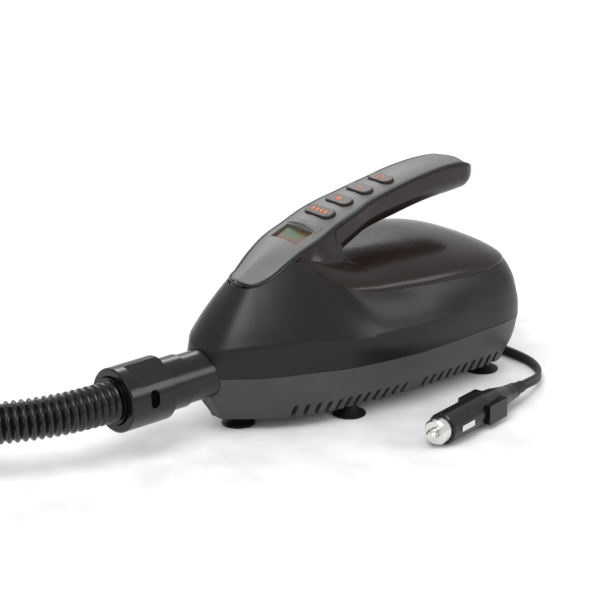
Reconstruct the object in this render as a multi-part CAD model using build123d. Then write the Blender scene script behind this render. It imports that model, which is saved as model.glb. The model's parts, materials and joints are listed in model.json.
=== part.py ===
from build123d import *
import math
import os

# Electric air pump: a base tray on five suction feet, a main shell that sweeps up into a carry
# handle, a blower stage and a piston stage inside, an outlet nozzle with a corrugated hose at the
# front and a 12 V lead behind. Millimetres. The origin is on the ground under the middle of the
# pump, +X points to its back and +Z up. The nozzle points to -X.

# ---------------------------------------------------------------- driving dimensions
WALL = 2.6  # wall of the moulded shells
FLOOR_Z = 9.0  # underside of the base tray
PART_Z = 42.5  # parting plane of tray and main shell, and the nozzle's axis
CREASE_Z = 61.5  # waist line of the main shell
FOOT_R = 11.0
FEET = [(-80.0, 0.0), (-15.3, 36.1), (-15.3, -36.1), (106.9, 36.1), (106.9, -36.1)]
SPIGOT_R = 16.2
SPIGOT_FRONT_X = -130.5
SPIGOT_BORE_R = 13.4
SPIGOT_BACK_X = -99.0
BUTTONS = {  # name: (x, length across the handle)
    "mode": (-9.0, 25.0),
    "plus": (8.0, 22.0),
    "minus": (26.0, 21.0),
    "power": (45.0, 20.0),
}
BUTTON_WIDTH = 10.0
BUTTON_TRAVEL = 1.0
BOARD_START = (-41.0, 107.6)  # control board's lower face in side view (x, z)
BOARD_END = (49.0, 127.2)
SHELL_GAP = 0.2  # between neighbouring shells

# Half outline of the shell, from the nose to the middle of the back: the points where a vertical
# line of the skin crosses the floor, the parting plane, the waist and the top edge. Y is half width.
FLOOR_LINE = [
    (-98.5, 0), (-98.4, 5), (-92, 11), (-77, 23.5), (-58, 35), (-38, 41.5), (-13, 44.5), (15, 48),
    (42, 49.8), (73, 49.9), (102, 49.6), (114, 46.5), (121, 38), (125, 26), (126, 0),
]
PARTING_LINE = [
    (-113, 0), (-113, 12), (-105, 20), (-82.5, 36.4), (-58, 47), (-33.2, 57.5), (-12.2, 62),
    (19, 66.7), (43, 66.4), (73, 64.5), (104, 62.1), (120, 56), (128, 46), (130.5, 30), (130.5, 0),
]
WAIST_LINE = [
    (-111.5, 0, 60), (-110, 11, 60), (-103, 21, 61.5), (-78, 38.5, 64), (-58, 48.5, 65.5),
    (-30, 61, 63), (-5, 64.5, 61.5), (20, 66.5, 61.5), (45, 66.5, 61.5), (73, 65, 61.5),
    (100, 62.5, 61.5), (116, 57, 61.5), (124, 48, 61.5), (128, 30, 61.5), (128.5, 0, 61.5),
]
TOP_LINE = [
    (-87.4, 0, 94.0), (-86.9, 14, 94.0), (-83, 25.5, 95.2), (-73, 32.6, 99.4), (-62, 33, 104.6),
    (-48, 29, 108.5), (-30, 44, 93.5), (-12, 50, 88), (15, 54, 84.7), (45, 58, 83), (85, 57.5, 81),
    (105, 53, 80.5), (118, 43, 80), (124, 28, 80), (126, 0, 80),
]
# Side view of the handle: crest of the panel and underside of the grip.
CREST = [
    (-82, 97.8), (-68, 106), (-55, 112), (-42, 117.5), (-26, 123), (-10, 129), (8, 133.5),
    (26, 137.5), (45, 140.5), (62, 143), (81, 144.5), (98, 144.5), (110, 143), (118, 139), (123, 134),
]
UNDERSIDE = [
    (-3, 104.5), (4, 107), (15, 111), (30, 114), (45, 116), (58, 118), (74, 120), (90, 121),
    (104, 121.5), (116, 123), (123, 127.5),
]
PANEL_HALF = [
    (-82, 12), (-79.5, 21), (-76, 26), (-70, 29.6), (-64, 29.6), (-55, 27.5), (-42, 25), (-30, 22),
    (-15, 20), (5, 17), (20, 14.5), (40, 13.4), (90, 12.6), (106, 11.4), (111, 8), (113.5, 4),
]
PANEL_DROP = [(-82, 0.3), (-68, 0.9), (-42, 2.6), (-20, 2.8), (10, 2.2), (60, 1.7), (113.5, 1.4)]
DOME_TOP = [(-3, 101.5), (15, 101.8), (45, 101.8), (70, 100.6), (95, 96), (110, 91), (118, 87), (123, 83), (125.6, 80.6)]


# ---------------------------------------------------------------- geometry helpers
def along(table, x):
    """The value at x of a table of (x, value) pairs, straight between them."""
    if x <= table[0][0]:
        return table[0][1]
    for (x0, v0), (x1, v1) in zip(table, table[1:]):
        if x <= x1:
            return v0 + (v1 - v0) * (x - x0) / (x1 - x0)
    return table[-1][1]


def slope(table, x, step=4.0):
    """The rise angle, in degrees, of a table's line at x."""
    rise = along(table, x + step) - along(table, x - step)
    return math.degrees(math.atan2(rise, 2 * step))


def triangles(a, b, c, d):
    """Two faces for a quad that may be slightly twisted, leaving out sides of no length."""
    made = []
    for tri in ((a, b, c), (a, c, d)):
        p, q, r = (Vector(*v) for v in tri)
        if (q - p).cross(r - p).length > 1e-4:
            made.append(Face(Wire.make_polygon([p, q, r])))
    return made


def closed_solid(faces):
    return Solid(Shell(faces))


def loop_of(half):
    """A closed loop from a half outline that starts and ends on the middle plane."""
    near = [(p[0], -p[1], p[2]) for p in half]
    far = [(p[0], p[1], p[2]) for p in half[1:-1]]
    return near + far[::-1]


def bulged(low, high, share, out):
    """A row between two rows of a half outline, pushed outwards by `out` at its middle."""
    row = []
    for (x0, y0, z0), (x1, y1, z1) in zip(low, high):
        x, y, z = (a + (b - a) * share for a, b in ((x0, x1), (y0, y1), (z0, z1)))
        reach = math.hypot(x - 20, y)
        push = out * 4 * share * (1 - share)
        row.append((x + push * (x - 20) / reach, y + push * y / reach if y else 0, z))
    return row


def offset_rows(rows, wall, flat_rims=(False, False)):
    """The rows moved inwards by the wall, along each point's normal."""
    count = len(rows[0])
    inner = []
    for r, row in enumerate(rows):
        moved = []
        for k in range(count):
            round_about = Vector(*row[(k + 1) % count]) - Vector(*row[k - 1])
            below, above = rows[max(r - 1, 0)][k], rows[min(r + 1, len(rows) - 1)][k]
            normal = round_about.cross(Vector(*above) - Vector(*below))
            if (r == 0 and flat_rims[0]) or (r == len(rows) - 1 and flat_rims[1]):
                normal = Vector(normal.X, normal.Y, 0)
            point = Vector(*row[k]) - normal.normalized() * wall
            moved.append((point.X, point.Y, point.Z))
        inner.append(moved)
    return inner


def sheet_faces(rows, flip=False):
    """Faces between closed rows that lie one above the other."""
    faces = []
    for low, high in zip(rows, rows[1:]):
        for k in range(len(low)):
            quad = [low[k - 1], low[k], high[k], high[k - 1]]
            faces += triangles(*(quad[::-1] if flip else quad))
    return faces


def through_sections(sections):
    """A closed solid through polygons with equal numbers of points, with flat ends."""
    faces = sheet_faces(sections)
    faces.append(Face(Wire.make_polygon([Vector(*p) for p in sections[0][::-1]])))
    faces.append(Face(Wire.make_polygon([Vector(*p) for p in sections[-1]])))
    return closed_solid(faces)


def cylinder_along(axis, radius, start, length):
    """A solid cylinder from `start` along a direction."""
    return Solid.make_cylinder(radius, length, Plane(origin=start, z_dir=axis))


def tube_along(axis, outer, inner, start, length):
    wide = Vector(*axis).normalized()
    overrun = 1.0
    bore_start = Vector(*start) - wide * overrun
    return cylinder_along(axis, outer, start, length) - cylinder_along(
        axis, inner, tuple(bore_start), length + 2 * overrun
    )


def block(low, high):
    """A box between its lowest and highest corners."""
    size = [b - a for a, b in zip(low, high)]
    middle = [(a + b) / 2 for a, b in zip(low, high)]
    return Pos(*middle) * Box(*size)


def one(shape):
    """The single solid of a shape."""
    found = shape.solids()
    return found[0] if len(found) == 1 else shape


def save(name, shape):
    export_step(shape, os.path.join("parts", name + ".step"))


UP, BACK, SIDE = (0, 0, 1), (1, 0, 0), (0, 1, 0)


def row_at(line, z):
    return [(x, y, z) for x, y in line]


# ---------------------------------------------------------------- housing shells
VENTS_FRONT = [-62.0 + 7.4 * i for i in range(12)]
VENTS_BACK = [37.0 + 7.4 * i for i in range(10)]
VENT_WIDTH = 3.0
VENT_TOP_Z = 19.0
SCREW_POSTS = [(-58, 24), (18, 42), (100, 42)]
POST_R = 4.0
SCREW_R = 1.5


def half_width(line, x):
    """Half width of an outline at x."""
    return along([(p[0], p[1]) for p in line[1:-1]], x)


def base_shell():
    """The tray: a sloping wall on a flat floor, slotted through its lower edge."""
    low, high = row_at(FLOOR_LINE, FLOOR_Z), row_at(PARTING_LINE, PART_Z)
    rows = [loop_of(r) for r in (low, bulged(low, high, 0.5, 2.0), high)]
    inner = offset_rows(rows, WALL, (True, True))
    inner[0] = [(x, y, FLOOR_Z + WALL) for x, y, _ in inner[0]]
    faces = sheet_faces(rows) + sheet_faces(inner, flip=True)
    faces += sheet_faces([rows[-1], inner[-1]])
    faces.append(Face(Wire.make_polygon([Vector(*p) for p in rows[0][::-1]])))
    faces.append(Face(Wire.make_polygon([Vector(*p) for p in inner[0]])))
    tray = closed_solid(faces)
    for x, y in FEET:
        tray += cylinder_along(UP, 6.0, (x, y, FLOOR_Z + 1), 5.6)
    for x, y in SCREW_POSTS:
        for side in (-1, 1):
            tray += cylinder_along(UP, POST_R, (x, side * y, FLOOR_Z + 1), PART_Z - FLOOR_Z - 1)
    cuts = [cylinder_along(UP, 2.6, (x, y, 0), 30) for x, y in FEET]
    for x, y in SCREW_POSTS:
        for side in (-1, 1):
            cuts.append(cylinder_along(UP, SCREW_R + 0.2, (x, side * y, 0), 60))
            cuts.append(cylinder_along(UP, 3.2, (x, side * y, 0), FLOOR_Z + 3))
    for x in VENTS_FRONT + VENTS_BACK:
        y = half_width(FLOOR_LINE, x)
        for side in (-1, 1):
            low_y, high_y = sorted((side * (y - 4.2), side * (y + 14)))
            cuts.append(block((x - VENT_WIDTH / 2, low_y, 8), (x + VENT_WIDTH / 2, high_y, VENT_TOP_Z)))
    cuts.append(cylinder_along(BACK, SPIGOT_R + 0.15, (-140, 0, PART_Z), 39))
    cuts.append(cylinder_along(BACK, GLAND_R, (115, GLAND_AT[1], GLAND_AT[2]), 30))
    return tray.cut(*cuts)


def main_shell():
    """The ring of nose hood and flanks, from the parting plane up to the deck and the panel."""
    low = row_at(PARTING_LINE, PART_Z + SHELL_GAP)
    rows = [
        low,
        WAIST_LINE,
        bulged(WAIST_LINE, TOP_LINE, 0.35, 1.6),
        bulged(WAIST_LINE, TOP_LINE, 0.7, 1.6),
        TOP_LINE,
    ]
    rows = [loop_of(r) for r in rows]
    inner = offset_rows(rows, WALL, (True, False))
    faces = sheet_faces(rows) + sheet_faces(inner, flip=True)
    faces += sheet_faces([rows[-1], inner[-1]]) + sheet_faces([inner[0], rows[0]])
    shell = closed_solid(faces)
    for x, y in SCREW_POSTS:
        wall_y = half_width(PARTING_LINE, x) - 1.2
        for side in (-1, 1):
            shell += cylinder_along(UP, POST_R, (x, side * y, PART_Z + SHELL_GAP), 9)
            low_y, high_y = sorted((side * y, side * wall_y))
            shell += block((x - 1, low_y, PART_Z + SHELL_GAP), (x + 1, high_y, PART_Z + 9))
    cuts = [cylinder_along(BACK, SPIGOT_R + 0.15, (-140, 0, PART_Z), 39)]
    for x, y in SCREW_POSTS:
        for side in (-1, 1):
            cuts.append(cylinder_along(UP, SCREW_R, (x, side * y, PART_Z - 1), 8.5))
    return shell.cut(*cuts)


def panel_edge(x):
    """Half width and height of the panel's edge at x."""
    return along(PANEL_HALF, x), along(CREST, x) - along(PANEL_DROP, x)


def deck_section(x, inset):
    """Half section of the deck at x, from its border up to the middle, moved in by `inset`.

    In front of the dome it is the handle's root: two flanks with a trough for the control board.
    """
    border = [(p[0], p[1], p[2]) for p in TOP_LINE[5:]]
    y_edge = along([(p[0], p[1]) for p in border], x) - SHELL_GAP - inset
    z_edge = along([(p[0], p[2]) for p in border], x)
    steps = 7
    points = []
    if x < -4:
        y_top, z_top = panel_edge(x)
        y_top, z_top = y_top + 2.5 - inset, z_top - 2.8 - inset
        y_edge = max(y_edge, y_top + 0.5)
        flank = steps - 3
        for i in range(flank + 1):
            t = i / flank
            hollow = 2.0 * math.sin(math.pi * t)
            points.append((x, y_edge + (y_top - y_edge) * t - hollow, z_edge + (z_top - z_edge) * t))
        trough = along([BOARD_START, BOARD_END], x) - 3.2 - inset
        points += [(x, TROUGH_HALF + inset, z_top - 0.6), (x, TROUGH_HALF, trough), (x, 0.0, trough)]
    else:
        z_top = along(DOME_TOP, x) - inset
        for i in range(steps + 1):
            t = math.pi / 2 * i / steps
            points.append((x, y_edge * math.cos(t), z_edge + (z_top - z_edge) * math.sin(t)))
    return points


TROUGH_HALF = 14.8


def deck_cover():
    """The dome behind the handle's root, with the root's flanks in front, closed at its back."""
    sections = []
    for x in (-44, -40, -30, -20, -9, -3, 8, 25, 45, 65, 85, 100, 112, 118, 121, 123.5, 125):
        outer = deck_section(x, 0.0)
        inner = deck_section(x, WALL)
        if x > 120:
            level = outer[0][2]
            inner = [(px, y * 0.93, level) for px, y, _ in outer]
        near = [(px, -y, z) for px, y, z in outer] + [(px, y, z) for px, y, z in outer[:-1][::-1]]
        back = [(px, y, z) for px, y, z in inner] + [(px, -y, z) for px, y, z in inner[:-1][::-1]]
        sections.append(near + back)
    return through_sections(sections)


PANEL_STATIONS = (-82, -79.5, -76, -70, -64, -55, -42, -30, -15, 5, 20, 40, 65, 90, 106, 111, 113.5)


HANDLE_TAIL = [(100, 14.8), (110, 14.2), (116, 12.8), (118, 12.0)]


def frame_half(x):
    """Half width of the dark strip round the panel, which runs on past the panel's round end."""
    return along(PANEL_HALF, x) + 2.6 if x < 100 else along(HANDLE_TAIL, x)


def handle_frame():
    """The dark strip round the panel and the bed under it, part of the main shell's upper half."""
    sections = []
    bed = 2.2
    for x in (-84.6, -82.3) + PANEL_STATIONS + (113.8, 118):
        w, z = panel_edge(x)
        crown = along(PANEL_DROP, x)
        lip = frame_half(x)
        floor = bed if x in PANEL_STATIONS else 0.1
        half = [(lip, z - 0.3), (w + 0.3, z - 0.1), (w + 0.29, z - floor), (w / 2, z - floor + crown * 0.7)]
        top = [(x, -y, h) for y, h in half] + [(x, 0, z - floor + crown)]
        top += [(x, y, h) for y, h in half[::-1]]
        under = [(x, lip, z - 2.4), (x, w / 2, z - bed - 2 + crown * 0.7), (x, 0, z - bed - 2 + crown)]
        under += [(x, -w / 2, z - bed - 2 + crown * 0.7), (x, -lip, z - 2.4)]
        sections.append(top + under)
    frame = through_sections(sections)
    cuts = [button_prism(name, BUTTON_WIDTH / 2 + 0.9, 1.8, -12, 8) for name in BUTTONS]
    cuts.append(display_block(17.0, 27.4, -14, 10))
    return frame.cut(*cuts)


def handle_panel():
    """The grey trim panel with its button holes and display window."""
    sections = []
    thick = 1.8
    for x in PANEL_STATIONS:
        w, z = panel_edge(x)
        crown = along(PANEL_DROP, x)
        half = [(w, 0.0), (w * 0.75, 0.44), (w * 0.4, 0.84)]
        top = [(x, -y, z + crown * c) for y, c in half] + [(x, 0, z + crown)]
        top += [(x, y, z + crown * c) for y, c in half[::-1]]
        sections.append(top + [(px, py, pz - thick) for px, py, pz in top[::-1]])
    panel = through_sections(sections)
    cuts = [button_prism(name, BUTTON_WIDTH / 2 + 0.4, 0.4, -12, 8) for name in BUTTONS]
    cuts.append(display_block(15.4, 25.4, -14, 10))
    return panel.cut(*cuts)


def mirrored(x, half):
    """A closed section at x from the points of its +Y half."""
    return [(x, -y, z) for y, z in half] + [(x, y, z) for y, z in half[::-1]]


def handle_grip():
    """The lower half of the handle: a channel with a solid tail that closes the handle's end."""
    outer, cavity = [], []
    for x in (-2.4, 8, 20, 34, 48, 62, 76, 90, 102, 110, 111, 117.8):
        _, z = panel_edge(x)
        side, low = frame_half(x) + 0.3, along(UNDERSIDE, x)
        top = z - (3.1 if x <= 110 else 4.8)
        half = [(side, top), (side + 0.8, (top + low) / 2 + 1), (side * 0.86, low + 3.5), (side * 0.5, low)]
        outer.append(mirrored(x, half))
        if x <= 110:
            half = [(side - 2.4, top + 3), (side - 2, (top + low) / 2 + 1), (side * 0.86 - 2, low + 5)]
            half.append((side * 0.5 - 1, low + 2.4))
            cavity.append(mirrored(x - 2 if x < 0 else x, half))
    _, z = panel_edge(118)
    low, top = along(UNDERSIDE, 118), z - 0.2
    for x, share in ((118.2, 1.0), (120.5, 0.9), (122.5, 0.66), (123.6, 0.34)):
        middle = (low + top) / 2 - (x - 118) * 0.35
        side, tall = frame_half(118) * share, (top - low) / 2 * share
        half = [(side * 0.8, tall), (side, tall * 0.3), (side, -tall * 0.5), (side * 0.6, -tall)]
        outer.append(mirrored(x, [(y, middle + h) for y, h in half]))
    return through_sections(outer) - through_sections(cavity)


# ---------------------------------------------------------------- controls
def panel_plane(x, y=0.0):
    """A plane on the panel's crest at x, its Z along the local normal."""
    tilt = math.radians(slope(CREST, x))
    normal = (-math.sin(tilt), 0, math.cos(tilt))
    return Plane(origin=(x, y, along(CREST, x)), x_dir=(math.cos(tilt), 0, math.sin(tilt)), z_dir=normal)


def oval(plane, width, length, low, high):
    """A prism with round ends, long across the handle, between two heights over a plane."""
    sketch = plane.offset(low) * Rot(0, 0, 90) * SlotOverall(length, width)
    return extrude(sketch, high - low)


def button_prism(name, half, extra, low, high):
    x, length = BUTTONS[name]
    return oval(panel_plane(x), 2 * half, length + 2 * extra, low, high)


def display_plane():
    return panel_plane(-34.0)


def display_block(along_x, across, low, high):
    plane = display_plane()
    return extrude(plane.offset(low) * Rectangle(along_x, across), high - low)


def board_plane():
    (x0, z0), (x1, z1) = BOARD_START, BOARD_END
    tilt = math.atan2(z1 - z0, x1 - x0)
    normal = (-math.sin(tilt), 0, math.cos(tilt))
    return Plane(origin=((x0 + x1) / 2, 0, (z0 + z1) / 2), x_dir=(math.cos(tilt), 0, math.sin(tilt)), z_dir=normal)


BOARD_THICK = 1.6
BOARD_LENGTH = 92.0
BOARD_WIDTH = 20.0
SWITCH_TOP = 5.0
BOARD_SCREWS = (-24.0, 32.5)


def board_local_x(name):
    """Where a button's axis meets the switch tops, along the board."""
    plane = panel_plane(BUTTONS[name][0])
    board = board_plane()
    start = board.to_local_coords(plane.origin)
    way = board.to_local_coords(plane.origin - plane.z_dir) - start
    share = (start.Z - BOARD_THICK - SWITCH_TOP) / -way.Z
    return start.X + way.X * share, share


def button(name):
    """An oval cap with a retaining flange and a stem that ends just over its switch."""
    x, length = BUTTONS[name]
    plane = panel_plane(x)
    cap = oval(plane, BUTTON_WIDTH, length, -3.7, 1.3)
    cap = fillet(cap.faces().sort_by(Axis((0, 0, 0), plane.z_dir))[-1].edges(), 0.8)
    flange = oval(plane, BUTTON_WIDTH + 1.2, length + 2.4, -5.0, -3.7)
    _, reach = board_local_x(name)
    stem = extrude(plane.offset(-reach + BUTTON_TRAVEL + 0.3) * Circle(2.2), reach - 5.0 - BUTTON_TRAVEL - 0.3)
    return cap + flange + stem


def control_board():
    plane = board_plane()
    board = extrude(plane * Rectangle(BOARD_LENGTH, BOARD_WIDTH), BOARD_THICK)
    chips = [(-34, 5, 9, 7), (20, -5, 7, 6), (-8, -6.5, 5, 4)]
    for px, py, sx, sy in chips:
        chip = plane.offset(-1.4) * Pos(px, py) * Rectangle(sx, sy)
        board += extrude(chip, 1.5)
    holes = [extrude(plane.offset(-3) * Pos(px, 0) * Circle(1.3), 8) for px in BOARD_SCREWS]
    return board.cut(*holes)


def tact_switches():
    plane = board_plane()
    made = []
    for name in BUTTONS:
        px, _ = board_local_x(name)
        body = extrude(plane.offset(BOARD_THICK) * Pos(px, 0) * Rectangle(6, 6), 3.6)
        made.append(body + extrude(plane.offset(BOARD_THICK + 3.6) * Pos(px, 0) * Circle(1.7), SWITCH_TOP - 3.6))
    return Compound(made)


def board_screws():
    plane = board_plane()
    made = []
    for px in BOARD_SCREWS:
        shank = extrude(plane.offset(-2.5) * Pos(px, 0) * Circle(1.2), 2.5 + BOARD_THICK)
        made.append(shank + extrude(plane.offset(BOARD_THICK) * Pos(px, 0) * Circle(2.3), 1.4))
    return Compound(made)


def display_module():
    """The display's glass and its carrier, sunk in the panel."""
    plane = display_plane()
    body = extrude(plane.offset(-6.6) * Rectangle(15, 25), 2.4)
    return body + extrude(plane.offset(-7.4) * Rectangle(10, 20), 0.8)


def display_lens():
    return extrude(display_plane().offset(-4.0) * Rectangle(15, 25), 1.4)


# ---------------------------------------------------------------- feet, screws, nozzle
def suction_foot(x, y):
    """A soft cup with a thin rim, a neck and a stud that snaps into the tray."""
    with BuildSketch(Plane.XZ) as outline:
        with BuildLine():
            Polyline((0, 14.3), (2.55, 14.3), (2.55, FLOOR_Z), (4.4, FLOOR_Z), (4.4, 6.2))
            Spline((4.4, 6.2), (7.2, 3.2), (FOOT_R, 1.0))
            Polyline((FOOT_R, 1.0), (FOOT_R, 0), (10.2, 0))
            Spline((10.2, 0), (6.0, 1.9), (0, 2.6))
            Line((0, 2.6), (0, 14.3))
        make_face()
    return Pos(x, y, 0) * revolve(outline.sketch, Axis.Z, 360)


def housing_screws():
    made = []
    for x, y in SCREW_POSTS:
        for side in (-1, 1):
            head = cylinder_along(UP, 2.9, (x, side * y, FLOOR_Z + 0.8), 2.2)
            shank = cylinder_along(UP, SCREW_R, (x, side * y, FLOOR_Z + 3.0), PART_Z + 6 - FLOOR_Z - 3)
            made.append(head + shank)
    return Compound(made)


def outlet_spigot():
    """The nozzle: a tube with a flange inside the nose and two bayonet lugs outside."""
    tube = tube_along(BACK, SPIGOT_R, SPIGOT_BORE_R, (SPIGOT_FRONT_X, 0, PART_Z), SPIGOT_BACK_X - SPIGOT_FRONT_X)
    flange = tube_along(BACK, 17.3, SPIGOT_BORE_R, (-101.0, 0, PART_Z), 2.0)
    return tube + flange


def spigot_seal():
    return tube_along(BACK, 15.8, SPIGOT_BORE_R + 0.2, (SPIGOT_BACK_X, 0, PART_Z), 1.4)


# ---------------------------------------------------------------- air path
MANIFOLD_X = (-88.0, -70.0)
DUCT_Z = (21.0, 47.0)
DUCT_HALF = 16.0
DUCT_BACK_X = 20.0


def outlet_manifold():
    """The chamber behind the nozzle, open to the duct behind and the delivery tube above."""
    x0, x1 = MANIFOLD_X
    neck_x = SPIGOT_BACK_X + 1.4
    box = block((x0, -17.4, 22), (x1, 17.4, 60)) + cylinder_along(BACK, 15.8, (neck_x, 0, PART_Z), x0 - neck_x)
    box -= block((x0 + 2, -15.8, 23.6), (x1 - 2, 15.8, 58))
    box -= block((x1 - 3, -14.2, 25.2), (x1 + 1, 14.2, 45.2))
    box -= cylinder_along(BACK, SPIGOT_BORE_R, (neck_x - 1, 0, PART_Z), x0 - neck_x + 4)
    return box - cylinder_along(UP, 2.7, (DELIVERY_X, DELIVERY_Y, 52), 20)


FLAP_PIN = (-74.4, 47.6)


def check_flap():
    """The leaf that closes the duct's mouth while the piston stage runs."""
    px, pz = FLAP_PIN
    leaf = block((px - 0.2, -15.2, 24.2), (px + 1.9, 15.2, pz + 1.2))
    barrel = cylinder_along(SIDE, 2.2, (px, -15.2, pz), 30.4)
    return (leaf + barrel) - cylinder_along(SIDE, 1.06, (px, -20, pz), 40)


def flap_pin():
    px, pz = FLAP_PIN
    return cylinder_along(SIDE, 1.0, (px, -15.75, pz), 31.5)


def blower_duct():
    """The square duct between the volute's outlet and the manifold."""
    z0, z1 = DUCT_Z
    x0, x1 = MANIFOLD_X[1] + 0.2, DUCT_BACK_X
    duct = block((x0, -DUCT_HALF, z0), (x1, DUCT_HALF, z1))
    return duct - block((x0 - 1, -DUCT_HALF + 1.8, z0 + 1.8), (x1 + 1, DUCT_HALF - 1.8, z1 - 1.8))


# ---------------------------------------------------------------- blower stage
BLOWER_X = 68.0
VOLUTE_R = 45.0
VOLUTE_Z = (15.2, 46.0)
MOTOR_R = 17.9
SHAFT_R = 1.6


def blower_volute():
    """The drum round the impeller, with its air eye below and its mouth towards the duct."""
    z0, z1 = VOLUTE_Z
    at = (BLOWER_X, 0, z0)
    drum = cylinder_along(UP, VOLUTE_R, at, z1 - z0)
    drum += block((DUCT_BACK_X + 0.2, -DUCT_HALF, z0), (BLOWER_X - 20, DUCT_HALF, z1))
    drum -= cylinder_along(UP, VOLUTE_R - 2, (BLOWER_X, 0, z0 + 2), z1 - z0)
    drum -= block((DUCT_BACK_X - 1, -DUCT_HALF + 1.8, z0 + 6), (BLOWER_X - 20, DUCT_HALF - 1.8, z1 - 1.8))
    return drum - cylinder_along(UP, 21, (BLOWER_X, 0, z0 - 1), 5)


def blower_cover():
    """The volute's lid, which carries the motor."""
    z = VOLUTE_Z[1] + 0.1
    lid = cylinder_along(UP, VOLUTE_R, (BLOWER_X, 0, z), 2.4)
    lid += tube_along(UP, MOTOR_R + 3.4, MOTOR_R + 1.3, (BLOWER_X, 0, z + 2.3), 9)
    return lid - cylinder_along(UP, 4.2, (BLOWER_X, 0, z - 1), 5)


def motor_mount():
    """The rubber ring between the motor and the lid."""
    z = VOLUTE_Z[1] + 2.6
    return tube_along(UP, MOTOR_R + 1.2, MOTOR_R + 0.05, (BLOWER_X, 0, z), 8)


def impeller():
    """Backward-curved blades between a back plate and a front ring."""
    z0 = 21.0
    plate = cylinder_along(UP, 38, (BLOWER_X, 0, z0 + 18), 2)
    ring = tube_along(UP, 38, 22, (BLOWER_X, 0, z0), 1.6)
    wheel = plate + ring + cylinder_along(UP, 6, (BLOWER_X, 0, z0 + 6), 13)
    blades = 11
    blade = blade_face()
    for i in range(blades):
        turn = 360 / blades * i
        wheel += Pos(BLOWER_X, 0, z0 + 1.5) * Rot(0, 0, turn) * extrude(blade, 17)
    return wheel - cylinder_along(UP, SHAFT_R, (BLOWER_X, 0, z0 - 1), 40)


def blade_face():
    """One blade in plan: two arcs joined by short ends."""
    with BuildSketch() as blade:
        with BuildLine():
            ThreePointArc((15, 0), (27, 4.5), (37.2, 15))
            Line((37.2, 15), (36.4, 16.2))
            ThreePointArc((36.4, 16.2), (26.2, 5.9), (15, 1.4))
            Line((15, 1.4), (15, 0))
        make_face()
    return blade.sketch


def motor(base, axis, length):
    """Can with a front bearing seat, brush cap, two bearings, and a rotor with its shaft."""
    start = Vector(*base)
    way = Vector(*axis)
    can = cylinder_along(axis, MOTOR_R, base, length)
    can -= cylinder_along(axis, MOTOR_R - 1.2, tuple(start + way * 1.2), length)
    can -= cylinder_along(axis, 4.0, tuple(start - way), 4)
    cap = cylinder_along(axis, MOTOR_R, tuple(start + way * (length + 0.05)), 3)
    cap -= cylinder_along(axis, 4.0, tuple(start + way * (length - 1)), 3)
    bearings = [
        tube_along(axis, 3.95, SHAFT_R + 0.05, tuple(start + way * at), 1.8) for at in (-0.6, length + 0.1)
    ]
    shaft_start = start - way * 20.0
    rotor = cylinder_along(axis, SHAFT_R, tuple(shaft_start), length + 21.5)
    rotor += cylinder_along(axis, MOTOR_R - 5.2, tuple(start + way * 8), length - 24)
    rotor += cylinder_along(axis, 5.2, tuple(start + way * (length - 14)), 8)
    return can, cap, bearings, rotor


# ---------------------------------------------------------------- piston stage
COMP_Z = 67.0
COMP_MOTOR_X = 8.0
TEETH = {"pinion": 10, "crank": 40}
MODULE = 0.8
CRANK_X = COMP_MOTOR_X - MODULE * (TEETH["pinion"] + TEETH["crank"]) / 2 - 0.15
GEAR_Y = (9.4, 15.4)
ROD_Y = (18.6, 22.4)
THROW = 7.0
BORE_R = 9.5
CYLINDER_X = (-64.0, -36.0)


def gear(teeth, at, y0, y1, phase):
    """A spur gear in the XZ plane, with straight-sided teeth and a little play."""
    pitch = MODULE * teeth / 2
    root, tip = pitch - 1.15 * MODULE, pitch + 0.85 * MODULE
    points = []
    for i in range(teeth):
        middle = phase + 2 * math.pi * i / teeth
        for radius, width in ((root, -1.05), (tip, -0.34), (tip, 0.34), (root, 1.05)):
            turn = middle + width * MODULE / radius
            points.append((radius * math.cos(turn), radius * math.sin(turn)))
    plane = Plane(origin=(at, y1, COMP_Z), x_dir=(1, 0, 0), z_dir=(0, -1, 0))
    return extrude(plane * make_face(Polyline(*points, close=True)), y1 - y0)


DELIVERY_X, DELIVERY_Y = -79.0, 9.0


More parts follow.
